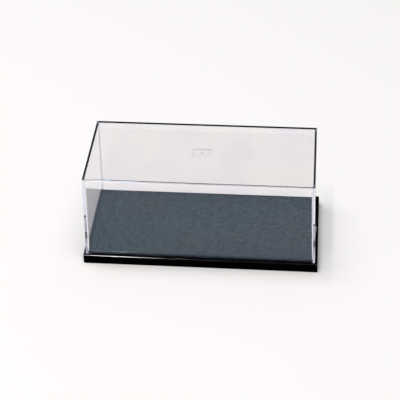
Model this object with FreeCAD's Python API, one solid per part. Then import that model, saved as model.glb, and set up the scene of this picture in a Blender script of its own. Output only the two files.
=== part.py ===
import FreeCAD, Part
import math
import os

# A table-top display case for one scale model: a clear moulded cover plugs into a black moulded base
# by two tongues, and a grained floor panel lies inside the base's low fence.
# Millimetres. +Z is up, X runs along the case's length and the front is at -Y. The origin is the
# middle of the base's footprint, on the surface that the case stands on.

Vector = FreeCAD.Vector

# Base: a shallow tray moulded upside down, with a deck, a skirt and ribs under the deck
base_length = 150.0
base_depth = 70.0
base_height = 6.2  # standing rim to the ledge under the cover's rim
base_draft = 1.0  # degrees that the skirt leans in towards the deck
base_corner = 1.0  # radius of the upright corners
base_edge_round = 0.6  # radius of the edge between skirt and ledge
skirt = 2.0  # wall of the skirt
deck = 1.8  # wall of the deck
hollow_corner = 0.8  # radius inside the skirt's corners
ledge = 1.7  # deck left showing outside the cover

# Ribs across the underside
rib_count = 3
rib_width = 1.2
rib_foot = 0.8  # how far the ribs stop above the standing rim

# Fence: the low rim that centres the cover and frames the floor panel
fence_width = 0.8
fence_lip = 0.4  # how far the fence stands above the panel
fence_round = 0.35  # radius along the fence's top edges
fence_flat = 0.1  # least flat left between those two edges, which limits their radius
fence_gap = 0.25  # fence to the cover's inner face

# Cover: one five-sided moulding, open below
overall_height = 65.0
rim_gap = 0.1  # rim above the ledge, because the tongues touch down first
cover_wall = 1.2
cover_roof = 1.2
cover_draft = 1.7  # degrees that the walls lean in towards the roof
cover_corner = 0.4  # radius outside the upright corners
cover_edge_round = 0.3  # radius round the roof's outer edge
cavity_corner = 1.2  # radius inside the upright corners
cavity_edge_round = 0.4  # radius between walls and roof, inside

# Gate mark: the sunken pad in the roof's middle, with the crater where plastic was let into the mould
gate_pad_length = 12.5
gate_pad_width = 8.5
gate_pad_corner = 1.5
gate_pad_depth = 0.12
gate_pad_slope = 45.0  # degrees that the pad's sides lean out towards the top
gate_crater_radius = 0.8
gate_crater_depth = 0.45

# Tongues: one under each end wall, which carry the cover on the floor of a blind pocket of the base
tongue_width = 11.5
tongue_thickness = 1.0
tongue_lead = 0.25  # bevel along the tip
tongue_foot = 2.2  # tip above the standing rim
tongue_gap = 0.2  # tongue to the pocket's sides
pocket_wall = 1.2

# Lift lips: the shallow bulges outside the end walls, where a thumbnail lifts the cover
lip_width = 11.0
lip_proud = 0.7
lip_height = 2.0

# Floor panel: a sheet cut to drop inside the fence
panel_thickness = 1.5
panel_corner = 0.4
panel_gap = 0.15  # panel to the fence

# Places that several pieces share
ledge_length = base_length - 2 * base_height * math.tan(math.radians(base_draft))
ledge_depth = base_depth - 2 * base_height * math.tan(math.radians(base_draft))
cover_length = ledge_length - 2 * ledge
cover_depth = ledge_depth - 2 * ledge
cavity_length = cover_length - 2 * cover_wall
cavity_depth = cover_depth - 2 * cover_wall
rim_level = base_height + rim_gap
fence_length = cavity_length - 2 * fence_gap
fence_depth = cavity_depth - 2 * fence_gap
fence_corner = cavity_corner - fence_gap
frame_length = fence_length - 2 * fence_width
frame_depth = fence_depth - 2 * fence_width
tongue_centre = (cover_length - cover_wall) / 2
deck_underside = base_height - deck
ENDS = (-1, 1)


def tapered_block(length, depth, radius, bottom, top, draft):
    """A block with rounded upright corners, sized at its bottom, whose walls lean in by a draft angle."""
    height = top - bottom
    lean = height * math.tan(math.radians(draft))
    half_x = length / 2
    half_y = depth / 2
    top_x = half_x - lean
    top_y = half_y - lean
    block = Part.makeWedge(-half_x, 0, -half_y, -top_y, -top_x, half_x, height, half_y, top_y, top_x)
    block.rotate(Vector(0, 0, 0), Vector(1, 0, 0), 90)
    block.translate(Vector(0, 0, bottom))
    upright = [e for e in block.Edges if abs(e.Vertexes[0].Z - e.Vertexes[1].Z) > height / 2]
    return block.makeFillet(radius, upright)


def centred_box(size_x, size_y, centre_x, bottom, top):
    """A box across the X axis, placed by the middle of its length."""
    corner = Vector(centre_x - size_x / 2, -size_y / 2, bottom)
    return Part.makeBox(size_x, size_y, top - bottom, corner)


def round_edges_at(shape, height, radius):
    """Rounds every edge that lies at one height."""
    level = [e for e in shape.Edges if all(abs(v.Z - height) < 1e-6 for v in e.Vertexes)]
    return shape.makeFillet(radius, level)


def make_fence():
    top = base_height + panel_thickness + fence_lip
    frame_corner = min(fence_corner, panel_corner + panel_gap)
    outside = tapered_block(fence_length, fence_depth, fence_corner, deck_underside, top, 0)
    inside = tapered_block(frame_length, frame_depth, frame_corner, base_height, top, 0)
    top_round = min(fence_round, (fence_width - fence_flat) / 2)
    return round_edges_at(outside.cut(inside), top, top_round)


def make_pocket_block(end):
    """The closed box under the deck that a tongue goes into, before its pocket is cut."""
    inner_face = tongue_centre - tongue_thickness / 2 - tongue_gap - pocket_wall
    outer_face = base_length / 2 - skirt / 2
    width = tongue_width + 2 * (tongue_gap + pocket_wall)
    bottom = tongue_foot - pocket_wall
    return centred_box(outer_face - inner_face, width, end * (inner_face + outer_face) / 2, bottom, base_height)


def make_pocket(end):
    thickness = tongue_thickness + 2 * tongue_gap
    width = tongue_width + 2 * tongue_gap
    return centred_box(thickness, width, end * tongue_centre, tongue_foot, base_height)


def make_base():
    tray = tapered_block(base_length, base_depth, base_corner, 0, base_height, base_draft)
    tray = round_edges_at(tray, base_height, base_edge_round)
    hollow = tapered_block(
        base_length - 2 * skirt, base_depth - 2 * skirt, hollow_corner, 0, deck_underside, base_draft
    )
    tray = tray.cut(hollow)
    rib_step = (base_length - 2 * skirt) / (rib_count + 1)
    first_rib = -rib_step * (rib_count - 1) / 2
    additions = [make_fence()]
    for number in range(rib_count):
        place = first_rib + number * rib_step
        additions.append(centred_box(rib_width, base_depth - skirt, place, rib_foot, base_height - deck / 2))
    additions += [make_pocket_block(end) for end in ENDS]
    tray = tray.multiFuse(additions)
    for end in ENDS:
        tray = tray.cut(make_pocket(end))
    return tray.removeSplitter()


def make_tongue(end):
    """A flat tongue with a bevelled tip, drawn as its section across the end wall."""
    outer = tongue_thickness / 2
    inner_tip = outer - tongue_lead
    bevel_top = tongue_foot + tongue_lead
    section = [
        (-outer, rim_level),
        (outer, rim_level),
        (outer, bevel_top),
        (inner_tip, tongue_foot),
        (-inner_tip, tongue_foot),
        (-outer, bevel_top),
    ]
    points = [Vector(end * tongue_centre + x, -tongue_width / 2, z) for x, z in section]
    face = Part.Face(Part.makePolygon(points + points[:1]))
    return face.extrude(Vector(0, tongue_width, 0))


def make_lip(end):
    """A slice of a flat cone that swells out of the end wall and fades into it upwards."""
    radius = (lip_width**2 / 4 + lip_proud**2) / (2 * lip_proud)
    wall_face = cover_length / 2
    cone_axis = Vector(end * (wall_face + lip_proud - radius), 0, rim_level)
    cone = Part.makeCone(radius, radius - lip_proud, lip_height, cone_axis)
    slab_thickness = cover_wall / 2 + lip_proud
    slab_centre = end * (wall_face + lip_proud - slab_thickness / 2)
    slab = centred_box(slab_thickness, 2 * lip_width, slab_centre, rim_level, rim_level + lip_height)
    return cone.common(slab)


def make_gate_mark():
    """What is taken out of the roof: the pad, and the crater that narrows downwards in its middle."""
    lean = gate_pad_depth * math.tan(math.radians(gate_pad_slope))
    length = gate_pad_length - 2 * lean
    width = gate_pad_width - 2 * lean
    pad_floor = overall_height - gate_pad_depth
    pad = tapered_block(length, width, gate_pad_corner, pad_floor, overall_height, -gate_pad_slope)
    crater_floor = Vector(0, 0, overall_height - gate_crater_depth)
    crater = Part.makeCone(gate_crater_radius / 2, gate_crater_radius, gate_crater_depth, crater_floor)
    return pad.fuse(crater)


def make_cover():
    ceiling = overall_height - cover_roof
    outside = tapered_block(cover_length, cover_depth, cover_corner, rim_level, overall_height, cover_draft)
    outside = round_edges_at(outside, overall_height, cover_edge_round)
    cavity = tapered_block(cavity_length, cavity_depth, cavity_corner, rim_level, ceiling, cover_draft)
    cavity = round_edges_at(cavity, ceiling, cavity_edge_round)
    lips = [make_lip(end) for end in ENDS]
    shell = outside.multiFuse(lips).cut(cavity)
    tongues = [make_tongue(end) for end in ENDS]
    return shell.multiFuse(tongues).cut(make_gate_mark()).removeSplitter()


def make_floor_panel():
    length = frame_length - 2 * panel_gap
    depth = frame_depth - 2 * panel_gap
    return tapered_block(length, depth, panel_corner, base_height, base_height + panel_thickness, 0)


os.makedirs("parts", exist_ok=True)
pieces = {
    "base": make_base(),
    "floor_panel": make_floor_panel(),
    "cover": make_cover(),
}
for name, piece in pieces.items():
    piece.exportStep("parts/" + name + ".step")
    box = piece.BoundBox
    print(
        f"{name}: {len(piece.Solids)} solid, {box.XLength:.2f} x {box.YLength:.2f} x {box.ZLength:.2f} mm,"
        f" {piece.Volume / 1000:.2f} cm3, valid {piece.isValid()}"
    )
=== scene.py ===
# %% [markdown]
# A display case for one scale model: a clear moulded cover that lifts off a low black base with a
# dark floor. Every piece was shaped in CAD, so this lesson is about light and materials: how a clear
# box is lit, how light gets through its walls, and how three plastics differ in gloss and grain.
#
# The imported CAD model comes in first. Its pieces already stand in the right place, in metres, with
# the case's footprint centred on the origin, +X along its length and the front at -Y.

# %% Load the case
import bpy
import math
from mathutils import Matrix, Vector

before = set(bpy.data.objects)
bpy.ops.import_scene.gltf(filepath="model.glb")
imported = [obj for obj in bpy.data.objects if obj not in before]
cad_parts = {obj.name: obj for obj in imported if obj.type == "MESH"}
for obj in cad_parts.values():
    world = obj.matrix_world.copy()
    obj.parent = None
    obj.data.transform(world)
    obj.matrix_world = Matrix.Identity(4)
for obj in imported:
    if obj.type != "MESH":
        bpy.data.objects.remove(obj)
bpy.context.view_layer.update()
scene = bpy.context.scene
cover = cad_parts["cover"]
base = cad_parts["base"]
floor_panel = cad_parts["floor_panel"]
MM = 0.001

# %% [markdown]
# A few helpers serve every material. Colours are easiest to pick and compare as the hex values a
# paint program shows, but Blender mixes light in linear values, so one function converts them.
# Another adds a node, sets its fields and links its inputs in one line, which keeps each material
# readable from its first node to its last. The third starts a material that holds only its output.

# %% Helpers for colours and nodes
def colour(hex_value):
    """A linear RGBA colour from an sRGB hex value such as #1a2b3c."""
    channels = [int(hex_value[i : i + 2], 16) / 255 for i in (1, 3, 5)]
    linear = [c / 12.92 if c <= 0.04045 else ((c + 0.055) / 1.055) ** 2.4 for c in channels]
    return (*linear, 1.0)


def add_node(tree, kind, inputs=None, **fields):
    """Adds a node. A socket given in inputs is linked, and anything else is set as the input's value."""
    node = tree.nodes.new(kind)
    for name, value in fields.items():
        setattr(node, name, value)
    for name, value in (inputs or {}).items():
        if isinstance(value, bpy.types.NodeSocket):
            tree.links.new(value, node.inputs[name])
        else:
            node.inputs[name].default_value = value
    return node


def new_material(name):
    """A material that holds only its output, handed back with its node tree and that output."""
    material = bpy.data.materials.new(name)
    material.use_nodes = True
    tree = material.node_tree
    tree.nodes.clear()
    return material, tree, tree.nodes.new("ShaderNodeOutputMaterial")


print("white is", round(colour("#ffffff")[0], 3), "and mid grey is", round(colour("#808080")[0], 3))

# %% [markdown]
# Most of what the materials do is built from four nodes: noise for anything natural, a map range
# that picks out part of a noise and stretches it, a mix of two colours, and plain arithmetic. Each
# gets a short function that hands back the socket with its result, ready to go into the next. The
# noise takes the real length of the thing that it draws, in metres, and nearly all of its values lie
# between the two that are named here.

# %% Helpers for patterns
noise_low = 0.3
noise_high = 0.7


def noise(tree, place, length, detail):
    """Soft noise with features about as long as the given length."""
    inputs = {"Vector": place, "Scale": 1 / length, "Detail": detail}
    return add_node(tree, "ShaderNodeTexNoise", inputs).outputs["Fac"]


def stretch(tree, value, from_low, from_high, to_low=0.0, to_high=1.0):
    """A value carried over from one range to another, and held at its ends."""
    ranges = {"From Min": from_low, "From Max": from_high, "To Min": to_low, "To Max": to_high}
    return add_node(tree, "ShaderNodeMapRange", {"Value": value, **ranges}).outputs["Result"]


def mix(tree, share, first, second):
    """A colour that goes from the first to the second as the share goes from 0 to 1."""
    inputs = {"Fac": share, "Color1": first, "Color2": second}
    return add_node(tree, "ShaderNodeMixRGB", inputs).outputs["Color"]


def calculate(tree, operation, first, second):
    """The result of one operation on two values, such as MULTIPLY or LESS_THAN."""
    return add_node(tree, "ShaderNodeMath", {0: first, 1: second}, operation=operation).outputs["Value"]


print("pattern helpers: noise, stretch, mix, calculate")

# %% [markdown]
# The photograph looks down at the case from the front, a little from its right. Straight edges of
# the case were measured in the picture and a camera was fitted to them, which gave the angles, the
# distance and the lens below. The slight roll is real: the photograph is not quite level.

# %% Camera
camera_azimuth = math.radians(6.14)
camera_elevation = math.radians(38.82)
camera_roll = math.radians(-1.73)
camera_distance = 795.5 * MM
camera_aim = Vector((-2.04, -1.55, 28.37)) * MM
focal_length = 110.93  # millimetres, as the sensor's width is
sensor_width = 36.0

right = Vector((math.cos(camera_azimuth), math.sin(camera_azimuth), 0))
level = Vector((-math.sin(camera_azimuth), math.cos(camera_azimuth), 0))
forward = level * math.cos(camera_elevation) - Vector((0, 0, math.sin(camera_elevation)))
up = right.cross(forward)
turn = Matrix((right, up, -forward)).transposed() @ Matrix.Rotation(camera_roll, 3, "Z")

camera_data = bpy.data.cameras.new("camera")
camera_data.lens = focal_length
camera_data.sensor_width = sensor_width
camera = bpy.data.objects.new("camera", camera_data)
camera.matrix_world = Matrix.Translation(camera_aim - camera_distance * forward) @ turn.to_4x4()
scene.collection.objects.link(camera)
scene.camera = camera
print("camera at, mm:", [round(c / MM) for c in camera.location])

# %% [markdown]
# A clear box shows its surroundings more than itself, so the surroundings come before the
# materials. The case stands on a pale table, which is all that the camera sees behind it. A clear
# wall passes on the table's brightness where it is looked through and mirrors it where it is looked
# along, so the table stays plain: a pattern on it would show up in every wall.

# %% Table
table_side = 12.0
table_drop = 0.05 * MM  # a hair under the case, so that no two faces lie in one plane
table_white = "#fdfcfa"

half = table_side / 2
corners = [(-half, -half), (half, -half), (half, half), (-half, half)]
table_mesh = bpy.data.meshes.new("table")
table_mesh.from_pydata([(x, y, -table_drop) for x, y in corners], [], [(0, 1, 2, 3)])
table = bpy.data.objects.new("table", table_mesh)
scene.collection.objects.link(table)

paint, tree, output = new_material("pale_table_paint")
shader = add_node(tree, "ShaderNodeBsdfDiffuse", {"Color": colour(table_white)})
tree.links.new(shader.outputs["BSDF"], output.inputs["Surface"])
table_mesh.materials.append(paint)
print("table", table_side, "m wide, painted", table_white)

# %% [markdown]
# The lamps were placed from what they leave in the photograph. Only the left part of the base's front
# edge shines, and a mirror line from there to the camera leads back to a long, narrow lamp over the
# table's left. The case's shadow is broad and lies on its right, so nearly as much light comes from a
# soft lamp further to the left, and a weaker one over the right keeps that shadow open. Lengths are in
# metres and powers in watts.

# %% Lamps
lamp_height = 2.4
lamp_white = "#fffdfc"
long_lamp_power = 21.0
soft_lamp_power = 19.0
fill_lamp_power = 16.0


def add_lamp(name, centre, size, power):
    """A flat lamp that hangs at the height of the others and shines straight down."""
    data = bpy.data.lights.new(name, "AREA")
    data.shape = "RECTANGLE"
    data.size, data.size_y = size
    data.color = colour(lamp_white)[:3]
    data.energy = power
    lamp = bpy.data.objects.new(name, data)
    lamp.location = (*centre, lamp_height)
    scene.collection.objects.link(lamp)


add_lamp("long_lamp", centre=(-0.43, -0.4), size=(0.12, 2.2), power=long_lamp_power)
add_lamp("soft_lamp", centre=(-1.0, 0.2), size=(0.8, 0.8), power=soft_lamp_power)
add_lamp("fill_lamp", centre=(0.6, -0.4), size=(0.8, 0.8), power=fill_lamp_power)
print("three lamps at", lamp_height, "m")

# %% [markdown]
# The room is what the clear walls mirror. The roof looks a shade darker than the table seen past it,
# so the room is dim at the height that the roof mirrors. The upright corners mirror a place a little
# higher up, and they are bright, so the ceiling behind the case is bright and starts just above. The
# world shader sees directions as a vector of length one: its Y says how far a direction points to
# the back, and its Z is the sine of its height.

# %% Room
room_around = "#6c6c6e"
room_behind = "#808490"
ceiling_behind = "#f4f4f6"
behind_from = 0.2
behind_fully = 0.6
ceiling_from = 0.63
ceiling_fully = 0.66

room = bpy.data.worlds.new("dim_room")
room.use_nodes = True
tree = room.node_tree
view = add_node(tree, "ShaderNodeTexCoord").outputs["Generated"]
sides = add_node(tree, "ShaderNodeSeparateXYZ", {"Vector": view})
behind = stretch(tree, sides.outputs["Y"], behind_from, behind_fully)
ceiling = stretch(tree, sides.outputs["Z"], ceiling_from, ceiling_fully)
far_side = mix(tree, ceiling, colour(room_behind), colour(ceiling_behind))
walls = mix(tree, behind, colour(room_around), far_side)
tree.links.new(walls, tree.nodes["Background"].inputs["Color"])
scene.world = room

scene.view_settings.view_transform = "Standard"
print("the room is", room_around, "and", room_behind, "behind the case")

# %% [markdown]
# Light that enters the edge of a clear wall bounces to and fro inside it many times before it comes
# out at another edge. Blender gives up after a few bounces by default and returns black, so the
# numbers go up here. Shadows have to pass both faces of several walls as well.

# %% Light bounces for clear walls
bounce_limit = 40
scene.cycles.max_bounces = bounce_limit
scene.cycles.glossy_bounces = bounce_limit
scene.cycles.transmission_bounces = bounce_limit
scene.cycles.transparent_max_bounces = bounce_limit
print("bounces:", scene.cycles.max_bounces)

# %% [markdown]
# The cover is injection-moulded crystal polystyrene. It is brilliantly clear and bends light
# strongly, with a refractive index of 1.59, which is why its upright corners show as broad bright
# strips. The mould was polished, so the walls have next to no roughness. What tells moulded plastic
# from glass is that its faces are never quite flat: they sink and swell by a few hundredths of a
# millimetre over some centimetres, and handling leaves faint dull patches. Both are noise textures
# here. Its makers put a trace of blue in the plastic against yellowing: it is hardly there straight
# through a wall and gathers along the edges, where light has come a long way. The sheen is what the
# faces mirror, toned down and cooled until the dark floor behind the front wall reads as it should.

# %% Clear moulded polystyrene: surface and tint
plastic_index = 1.59
swell_length = 40 * MM
swell_height = 0.02 * MM
smear_length = 25 * MM
smear_from = 0.4
smear_fully = 0.65
smear_roughness = 0.02
clear_clean = "#fefeff"
clear_smeared = "#fbfaff"
clear_sheen = "#b0ccec"
clear_tint = "#b4b0f0"
tint_density = 3.9

clear, tree, output = new_material("clear_moulded_polystyrene")
place = add_node(tree, "ShaderNodeTexCoord").outputs["Object"]
swells = noise(tree, place, swell_length, detail=1.0)
surface = add_node(tree, "ShaderNodeBump", {"Height": swells, "Distance": swell_height})
smears = noise(tree, place, smear_length, detail=4.0)
smeared = stretch(tree, smears, smear_from, smear_fully)
dullness = stretch(tree, smeared, 0.0, 1.0, to_high=smear_roughness)
plastic = add_node(
    tree,
    "ShaderNodeBsdfPrincipled",
    {
        "Base Color": mix(tree, smeared, colour(clear_clean), colour(clear_smeared)),
        "Roughness": dullness,
        "IOR": plastic_index,
        "Specular Tint": colour(clear_sheen),
        "Transmission Weight": 1.0,
        "Normal": surface.outputs["Normal"],
    },
)
tint = add_node(tree, "ShaderNodeVolumeAbsorption", {"Color": colour(clear_tint), "Density": tint_density})
tree.links.new(tint.outputs["Volume"], output.inputs["Volume"])
cover.material_slots[0].material = clear
print("cover wears", clear.name)

# %% [markdown]
# Plastic was let into the mould in the middle of the roof. The sunken pad there was never polished,
# so it is the one place on the cover that is matt, and it shows as a faint mark. The pad is found by
# where it lies: object coordinates are metres from the case's own origin and move with the piece, so
# three comparisons box it in.

# %% Clear moulded polystyrene: the matt gate pad
pad_length = 12.4 * MM
pad_width = 8.4 * MM
pad_above = 64.5 * MM
frost_length = 1.5 * MM
frost_least = 0.15
frost_most = 0.45

away = add_node(tree, "ShaderNodeVectorMath", {0: place}, operation="ABSOLUTE").outputs["Vector"]
reach = add_node(tree, "ShaderNodeSeparateXYZ", {"Vector": away}).outputs
in_length = calculate(tree, "LESS_THAN", reach["X"], pad_length / 2)
in_width = calculate(tree, "LESS_THAN", reach["Y"], pad_width / 2)
on_top = calculate(tree, "GREATER_THAN", reach["Z"], pad_above)
in_outline = calculate(tree, "MULTIPLY", in_length, in_width)
on_pad = calculate(tree, "MULTIPLY", in_outline, on_top)
frost = noise(tree, place, frost_length, detail=2.0)
frosted = stretch(tree, frost, noise_low, noise_high, frost_least, frost_most)
roughness = stretch(tree, on_pad, 0.0, 1.0, to_low=dullness, to_high=frosted)
tree.links.new(roughness, plastic.inputs["Roughness"])
print("gate pad, mm:", round(pad_length / MM, 1), "x", round(pad_width / MM, 1))

# %% [markdown]
# In Blender a refracting wall blocks a lamp's direct light, and the inside of a closed box would go
# black. So shadow rays and soft bounced light meet a plain transparent shader instead, which loses
# what a real face would mirror away: a twentieth when light comes straight on, and nearly all of it
# when light grazes the wall. That last loss is what gives a clear box a shadow beside its walls.

# %% Clear moulded polystyrene: how lamp light passes
mirrored_straight_on = ((plastic_index - 1) / (plastic_index + 1)) ** 2
graze_power = 5.0  # how late the mirroring sets in as light comes in flatter
plain_blend = 0.5  # at one half, Facing is one less the cosine of the slant

slant = add_node(tree, "ShaderNodeLayerWeight", {"Blend": plain_blend}).outputs["Facing"]
graze = calculate(tree, "POWER", slant, graze_power)
kept = stretch(tree, graze, 0.0, 1.0, to_low=1 - mirrored_straight_on, to_high=0.0)
passing = add_node(tree, "ShaderNodeBsdfTransparent", {"Color": kept})
path = add_node(tree, "ShaderNodeLightPath").outputs
soft_light = calculate(tree, "MAXIMUM", path["Is Shadow Ray"], path["Is Diffuse Ray"])
either = add_node(
    tree,
    "ShaderNodeMixShader",
    {"Fac": soft_light, 1: plastic.outputs["BSDF"], 2: passing.outputs["BSDF"]},
)
tree.links.new(either.outputs["Shader"], output.inputs["Surface"])
print("each face passes", round(1 - mirrored_straight_on, 3), "of light that comes straight on")

# %% [markdown]
# The base is polystyrene as well, with carbon black mixed in right through, so it shows itself only
# by what it mirrors. Its faces are dulled and stay almost black, while the rounded edges are polished
# and catch the lamp as thin bright lines. The edges are found from which way the surface faces: on
# the flat deck it faces straight up, on the skirt sideways, and on a rounded edge somewhere between.
# Hands have polished the outer edge further, so the fence inside the cover shines less.

# %% Black moulded polystyrene: polish
face_gloss = 0.002
edge_gloss = 1.2
fence_share = 0.4  # gloss of the fence's edges, as a share of the outer edge's
handled_below = 6.5 * MM  # between the ledge and the fence's top
edge_from = 0.65  # upward part of the surface's direction where an edge begins, on the skirt's side
edge_fully_from = 0.78
edge_fully_to = 0.91
edge_to = 0.95  # and where it ends, on the deck's side

black, tree, output = new_material("black_moulded_polystyrene")
place = add_node(tree, "ShaderNodeTexCoord").outputs["Object"]
height = add_node(tree, "ShaderNodeSeparateXYZ", {"Vector": place}).outputs["Z"]
facing = add_node(tree, "ShaderNodeNewGeometry").outputs["Normal"]
upward = add_node(tree, "ShaderNodeSeparateXYZ", {"Vector": facing}).outputs["Z"]
off_skirt = stretch(tree, upward, edge_from, edge_fully_from)
off_deck = stretch(tree, upward, edge_to, edge_fully_to)
rounded = calculate(tree, "MULTIPLY", off_skirt, off_deck)
handled = calculate(tree, "LESS_THAN", height, handled_below)
polish = stretch(tree, handled, 0.0, 1.0, to_low=fence_share)
moulded_gloss = stretch(tree, rounded, 0.0, 1.0, face_gloss, edge_gloss)
gloss = calculate(tree, "MULTIPLY", moulded_gloss, polish)
print("gloss of faces", face_gloss, "and of edges", edge_gloss)

# %% [markdown]
# A black that is the same all over looks painted by a computer. Here soft blotches, a few millimetres
# across, lead from a deep black to one that is a trace greyer, and they dull the polish a little where
# they are grey. Much finer noise is the skin that the mould left, and it only tilts the surface.

# %% Black moulded polystyrene: colour and skin
black_deep = "#010102"
black_greyed = "#050506"
blotch_length = 6 * MM
least_roughness = 0.07
most_roughness = 0.13
skin_grain = 0.4 * MM
skin_height = 0.01 * MM
skin_strength = 0.1

blotches = noise(tree, place, blotch_length, detail=5.0)
grain = noise(tree, place, skin_grain, detail=2.0)
skin = add_node(
    tree,
    "ShaderNodeBump",
    {"Height": grain, "Strength": skin_strength, "Distance": skin_height},
)
plastic = add_node(
    tree,
    "ShaderNodeBsdfPrincipled",
    {
        "Base Color": mix(tree, blotches, colour(black_deep), colour(black_greyed)),
        "Roughness": stretch(tree, blotches, noise_low, noise_high, least_roughness, most_roughness),
        "IOR": plastic_index,
        "Specular IOR Level": gloss,
        "Normal": skin.outputs["Normal"],
    },
)
tree.links.new(plastic.outputs["BSDF"], output.inputs["Surface"])
base.material_slots[0].material = black
print("base wears", black.name)

# %% [markdown]
# The floor is a sheet of matt plastic with a fine pebbled grain, a very dark slate when nothing
# stands in front of it. Through the front wall it looks paler, because the wall mirrors the table
# over it. Three noises make its colour. The first draws the pebbles, which on a real sheet are about
# half a millimetre wide and too small for the picture, so they are drawn about four times coarser.
# The second leaves a few pale specks, where the grain is worn or holds dust. The third is broad and
# weak and turns the shade towards green or violet.

# %% Grained slate sheet: colour
pebble_length = 2.0 * MM
pebble_from = 0.38
pebble_fully = 0.62
speck_length = 1.8 * MM
speck_from = 0.77  # only the highest peaks of the noise become specks
speck_fully = 0.83
cloud_length = 40 * MM
cloud_from = 0.4
cloud_fully = 0.6
slate_dark = "#000000"
slate_green = "#2e403b"
slate_violet = "#383a39"
speck_pale = "#5c6870"

grained, tree, output = new_material("grained_slate_sheet")
place = add_node(tree, "ShaderNodeTexCoord").outputs["Object"]
pebbles = noise(tree, place, pebble_length, detail=3.0)
specks = noise(tree, place, speck_length, detail=0.0)
clouds = noise(tree, place, cloud_length, detail=2.0)
lightness = stretch(tree, pebbles, pebble_from, pebble_fully)
violet_share = stretch(tree, clouds, cloud_from, cloud_fully)
speck_share = stretch(tree, specks, speck_from, speck_fully)
hue = mix(tree, violet_share, colour(slate_green), colour(slate_violet))
pebbled = mix(tree, lightness, colour(slate_dark), hue)
shade = mix(tree, speck_share, pebbled, colour(speck_pale))
print("floor colours:", slate_dark, slate_green, slate_violet, speck_pale)

# %% [markdown]
# The noise that shades the pebbles also raises them, so that light and dark belong to real bumps when
# the lamp comes from the side. Their tops are rubbed a little smoother than the valleys, and the
# whole sheet mirrors much less than the polished edges of the fence round it.

# %% Grained slate sheet: surface
pebble_height = 0.08 * MM
valley_roughness = 0.65
top_roughness = 0.45
sheet_index = 1.5
sheet_gloss = 0.1

relief = add_node(tree, "ShaderNodeBump", {"Height": pebbles, "Distance": pebble_height})
sheet = add_node(
    tree,
    "ShaderNodeBsdfPrincipled",
    {
        "Base Color": shade,
        "Roughness": stretch(tree, pebbles, 0.0, 1.0, valley_roughness, top_roughness),
        "IOR": sheet_index,
        "Specular IOR Level": sheet_gloss,
        "Normal": relief.outputs["Normal"],
    },
)
tree.links.new(sheet.outputs["BSDF"], output.inputs["Surface"])
floor_panel.material_slots[0].material = grained
print("floor panel wears", grained.name)
